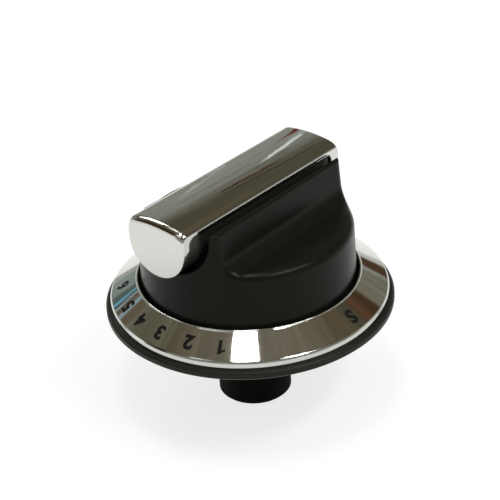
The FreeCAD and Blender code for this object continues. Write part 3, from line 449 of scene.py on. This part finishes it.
# Things: heading from and to, height from and to, softness of the edges, colour.
THINGS = [
    # In the ring's right side: a white table edge, brown patches and pale bands between them.
    (-80, -27, -2, 13, 3.0, "#f0f0e8"),
    (-36, -26, 44, 56, 2.0, "#625744"),
    (-20, -7, 27, 43, 2.0, "#4d3c2a"),
    (-19, -13, 34, 41, 1.5, "#604531"),
    (-9, 2, 22, 33, 1.5, "#7d786a"),
    (-2, 8, 12, 21, 1.2, "#7a766b"),
    (7, 16, 4, 10.5, 0.8, "#5a4333"),
    (16, 30, -3, 3, 1.0, "#dcddd6"),
    # In the ring's left side: cool greys with a thin blue line by the 5, then browns.
    (60, 84, -3, 16, 1.5, "#8f9a96"),
    (62, 71, -3, 4, 1.0, "#b4b6b0"),
    (78, 88, 14, 25, 1.0, "#5f6b69"),
    (80, 86, 17.6, 18.6, 0.3, "#78c0e4"),
    (83, 88, 20.4, 21.0, 0.25, "#dfeaec"),
    (86, 97, 22, 33, 1.0, "#6f6352"),
    (88, 93, 25, 27, 0.4, "#8fa7ad"),
    (97, 122, 34, 54, 2.0, "#6b6857"),
    (118, 152, 14, 44, 3.0, "#3d3126"),
    # In the cap's crown: thin pale, red and grey streaks along it.
    (40.2, 41.0, 26.4, 30.4, 0.15, "#f6fbfa"),
    (40.6, 41.6, 22.0, 26.4, 0.25, "#a9b4b4"),
    (49.0, 49.5, 10, 23, 0.25, "#b4bcb8"),
    (36.5, 39.6, 34.9, 35.7, 0.2, "#3e100d"),
    (42.4, 44.2, 19.8, 21.6, 0.2, "#6a1a16"),
    (43.0, 47.5, 27.0, 27.6, 0.5, "#6c6d66"),
    (38.0, 44.0, 31.6, 32.0, 0.3, "#5d5a50"),
    (30.0, 38.0, 37.0, 38.0, 0.5, "#4a4536"),
]
# Lit screens, which draw short bright lines in the rounded edges. They have the same first five
# numbers, and then how many times as bright as white they are.
SCREENS = [
    (64, 97, 62, 76, 2.5, 1.9),
    (-30, 130, 81, 95, 2.0, 2.2),
    (112, 156, 5, 12, 1.5, 1.2),
    (158, 185, 46, 56, 2.0, 1.9),
    (-185, -160, 46, 56, 2.0, 1.9),
]
print(len(WALLS), "wall shades,", len(THINGS), "things,", len(SCREENS), "lit screens")

# %% [markdown]
# ## The room's shape
#
# The room is the inside of a half ball that stands on the table. A ball has no corners that could
# show in the chrome. Only reflections see it: it is hidden from the camera, gives dull surfaces no
# light and casts no shadow.

# %% The room's shape
ROOM_RADIUS = 1.6


def dome(name, radius, rings=24, parts=72):
    """The inside of a half ball over the table, made of rings of four-cornered faces.

    For a rise from 0 to 90 degrees and a turn all the way round, a point is the radius times the
    rise's cosine and the turn's cosine, the same with the turn's sine, and the rise's sine.
    """
    rise, turn = np.meshgrid(np.linspace(0, math.pi / 2, rings + 1),
                             np.linspace(0, 2 * math.pi, parts, endpoint=False), indexing="ij")
    points = radius * np.stack([np.cos(rise) * np.cos(turn), np.cos(rise) * np.sin(turn),
                                np.sin(rise)], -1).reshape(-1, 3)
    faces = [(i * parts + j, (i + 1) * parts + j, (i + 1) * parts + (j + 1) % parts,
              i * parts + (j + 1) % parts) for i in range(rings) for j in range(parts)]
    return new_piece(name, points.tolist(), faces)


room = dome("room", ROOM_RADIUS)
for ray in ("visible_camera", "visible_diffuse", "visible_shadow", "visible_volume_scatter"):
    setattr(room, ray, False)
print("room:", len(room.data.polygons), "faces")

# %% [markdown]
# ## Heading and height
#
# The way from the room's middle to a place on its wall gives that place a heading and a height. A
# slow noise then moves both by a few degrees, so that the edges of things waver as they do in real
# plated plastic. With these two numbers a thing is only a window: in between, or not.

# %% Heading and height
WARP = 5.0
# The room's paint: what every bright part shows, from pale walls to a brown ceiling.
paint, paint_tree, on_wall = material("room_paint")


def window(angle, low, high, soft):
    """1 between two angles in degrees and 0 outside: a rise at the low one times a fall at the
    high one, each over twice the softness."""
    rise = add(paint_tree, "ShaderNodeMapRange",
               {"Value": angle, "From Min": low - soft, "From Max": low + soft},
               interpolation_type="SMOOTHSTEP")
    fall = add(paint_tree, "ShaderNodeMapRange",
               {"Value": angle, "From Min": high - soft, "From Max": high + soft,
                "To Min": 1.0, "To Max": 0.0}, interpolation_type="SMOOTHSTEP")
    return add(paint_tree, "ShaderNodeMath", {0: rise, 1: fall}, operation="MULTIPLY")


way = add(paint_tree, "ShaderNodeVectorMath", {0: on_wall}, operation="NORMALIZE")
along = add(paint_tree, "ShaderNodeSeparateXYZ", {"Vector": way}, take=None).outputs
bend = add(paint_tree, "ShaderNodeTexNoise", {"Vector": way, "Scale": 7.0, "Detail": 3.0},
           take="Color")
noise = add(paint_tree, "ShaderNodeSeparateColor", {"Color": bend}, take=None).outputs
turn = add(paint_tree, "ShaderNodeMath", {0: along["Y"], 1: along["X"]}, operation="ARCTAN2")
rise = add(paint_tree, "ShaderNodeMath", {0: along["Z"]}, operation="ARCSINE")
angles = []
for radians, shade in ((turn, noise["Green"]), (rise, noise["Red"])):
    degrees = add(paint_tree, "ShaderNodeMath", {0: radians}, operation="DEGREES")
    shift = add(paint_tree, "ShaderNodeMath", {0: shade, 1: WARP, 2: -0.5 * WARP},
                operation="MULTIPLY_ADD")
    angles.append(add(paint_tree, "ShaderNodeMath", {0: degrees, 1: shift}, operation="ADD"))
heading, height = angles
print("headings and heights move by up to", WARP / 2, "degrees either way")

# %% [markdown]
# ## Walls and things
#
# The walls' shade follows the height alone, from the table up to the zenith, as a ramp of colours.
# Each thing and each screen is then laid over what is already there, through its window.

# %% Walls and things
ZENITH = 90.0
share = add(paint_tree, "ShaderNodeMath", {0: height, 1: ZENITH}, operation="DIVIDE")
ramp = add(paint_tree, "ShaderNodeValToRGB", {"Fac": share}, take=None)
stops = ramp.color_ramp.elements
stops[0].position, stops[0].color = WALLS[0][0], linear(WALLS[0][1])
stops[1].position, stops[1].color = WALLS[-1][0], linear(WALLS[-1][1])
for at, code in WALLS[1:-1]:
    stops.new(at).color = linear(code)

tint = ramp.outputs["Color"]
for west, east, low, high, soft, shown in THINGS + SCREENS:
    spot = add(paint_tree, "ShaderNodeMath",
               {0: window(heading, west, east, soft), 1: window(height, low, high, soft)},
               operation="MULTIPLY")
    colour = linear(shown) if isinstance(shown, str) else (shown, shown, shown, 1.0)
    tint = add(paint_tree, "ShaderNodeMix", {"Factor": spot, FIRST: tint, SECOND: colour},
               take=MIXED, data_type="RGBA")
print("wall shades:", len(stops), "nodes:", len(paint_tree.nodes))

# %% [markdown]
# ## Unevenness of the walls
#
# Even walls would make the chrome look like plain grey paint. A coarse blotch and fine level
# streaks, which hardly change along the heading, break the light up, and the streaks show as faint
# lines along the cap.

# %% Unevenness of the walls
STREAK_LENGTH = 0.04
blotch = add(paint_tree, "ShaderNodeTexNoise",
             {"Vector": way, "Scale": 5.0, "Detail": 6.0, "Roughness": 0.7})
blotched = add(paint_tree, "ShaderNodeMapRange", {"Value": blotch, "From Min": 0.3,
                                                  "From Max": 0.7, "To Min": 0.8, "To Max": 1.15})
slow = add(paint_tree, "ShaderNodeMath", {0: heading, 1: STREAK_LENGTH}, operation="MULTIPLY")
level = add(paint_tree, "ShaderNodeCombineXYZ", {"X": slow, "Y": height})
streak = add(paint_tree, "ShaderNodeTexNoise",
             {"Vector": level, "Scale": 0.55, "Detail": 3.0, "Roughness": 0.6})
streaked = add(paint_tree, "ShaderNodeMapRange", {"Value": streak, "From Min": 0.3,
                                                  "From Max": 0.7, "To Min": 0.86, "To Max": 1.14})
strength = add(paint_tree, "ShaderNodeMath", {0: blotched, 1: streaked}, operation="MULTIPLY")
lit = add(paint_tree, "ShaderNodeEmission", {"Color": tint, "Strength": strength})
add(paint_tree, "ShaderNodeOutputMaterial", {"Surface": lit}, take=None)
room.data.materials.append(paint)
print("room paint:", len(paint_tree.nodes), "nodes")

# %% [markdown]
# ## Lamps and world
#
# An even world lights the plastics from all sides, as a product photographer's tent does. Three flat
# lamps stand in for the softboxes: the one overhead is the white block on the ring's front, the one
# behind draws the line along the nose's top edge, and the one at the side draws the nose's near
# corner and the scoop's rim. Each lamp's place was found by following the camera's ray off the part
# that shows it. The world itself is kept out of the chrome, which shows the room instead.

# %% Lamps and world
AIM = Vector((0, 0, 0.03))
LAMP_AWAY = 0.9
WORLD_STRENGTH = 0.57


def lamp(name, back, along, wide, tall, power):
    """A flat lamp that looks at the knob, with its sizes in metres and its power in watts.

    Its middle is the aim plus the way back times the distance. Its level side is along, less the
    share of it that lies in the way back, and its other side stands square to both.
    """
    light = bpy.data.lights.new(name, "AREA")
    light.shape = "RECTANGLE"
    light.size, light.size_y, light.energy = wide, tall, power
    back = Vector(back).normalized()
    side = Vector(along) - Vector(along).dot(back) * back
    side.normalize()
    rise = back.cross(side)
    spot = AIM + back * LAMP_AWAY
    piece = bpy.data.objects.new(name, light)
    bpy.context.scene.collection.objects.link(piece)
    piece.matrix_world = Matrix([[side[i], rise[i], back[i], spot[i]] for i in range(3)]
                                + [[0, 0, 0, 1]])
    print(name, wide, "x", tall, "m,", power, "W")


lamp("overhead_box", (-0.158, -0.061, 0.985), (0.573, -0.819, 0), 0.19, 0.26, 2.2)
lamp("window_box", (0.162, 0.649, 0.743), (0.97, -0.24, 0), 0.30, 0.28, 1.0)
lamp("side_box", (0.0758, -0.539, 0.839), (0.99, 0.139, 0), 0.50, 0.10, 3.0)

world = bpy.data.worlds.new("plain_light")
world.use_nodes = True
world.node_tree.nodes.clear()
sky = add(world.node_tree, "ShaderNodeBackground",
          {"Color": (1.0, 1.0, 1.0, 1.0), "Strength": WORLD_STRENGTH})
add(world.node_tree, "ShaderNodeOutputWorld", {"Surface": sky}, take=None)
bpy.context.scene.world = world
world.cycles_visibility.glossy = False
print("world strength:", WORLD_STRENGTH)

# %% [markdown]
# ## Camera
#
# The camera's place and lens were worked out from the ring's circles and the ridge's edges, so the
# knob stands in the picture as it does in the photograph. The lens follows from the focal length in
# pixels: the sensor's width times that length over the picture's width.

# %% Camera
EYE = Vector((-219.165, -200.326, 208.047)) * MM
LOOK = np.array([0.63730, 0.58051, -0.50683])
ROLL = -0.0592
FOCAL_PIXELS, PICTURE_PIXELS = 1678.4181, 500
SENSOR_MM = 36

look = LOOK / np.linalg.norm(LOOK)
right = np.cross(look, (0, 0, 1))
right /= np.linalg.norm(right)
up = np.cross(right, look)
turned_right = math.cos(ROLL) * right + math.sin(ROLL) * up
turned_up = -math.sin(ROLL) * right + math.cos(ROLL) * up
camera_data = bpy.data.cameras.new("camera")
camera_data.sensor_width = SENSOR_MM
camera_data.lens = SENSOR_MM * FOCAL_PIXELS / PICTURE_PIXELS
camera_data.clip_start, camera_data.clip_end = 0.01, 20
camera = bpy.data.objects.new("camera", camera_data)
bpy.context.scene.collection.objects.link(camera)
camera.matrix_world = Matrix([[turned_right[i], turned_up[i], -look[i], EYE[i]] for i in range(3)]
                             + [[0, 0, 0, 1]])
bpy.context.scene.camera = camera
bpy.context.scene.view_settings.view_transform = "Standard"
print("lens:", round(camera_data.lens, 1), "mm, distance:", round(EYE.length, 3), "m")
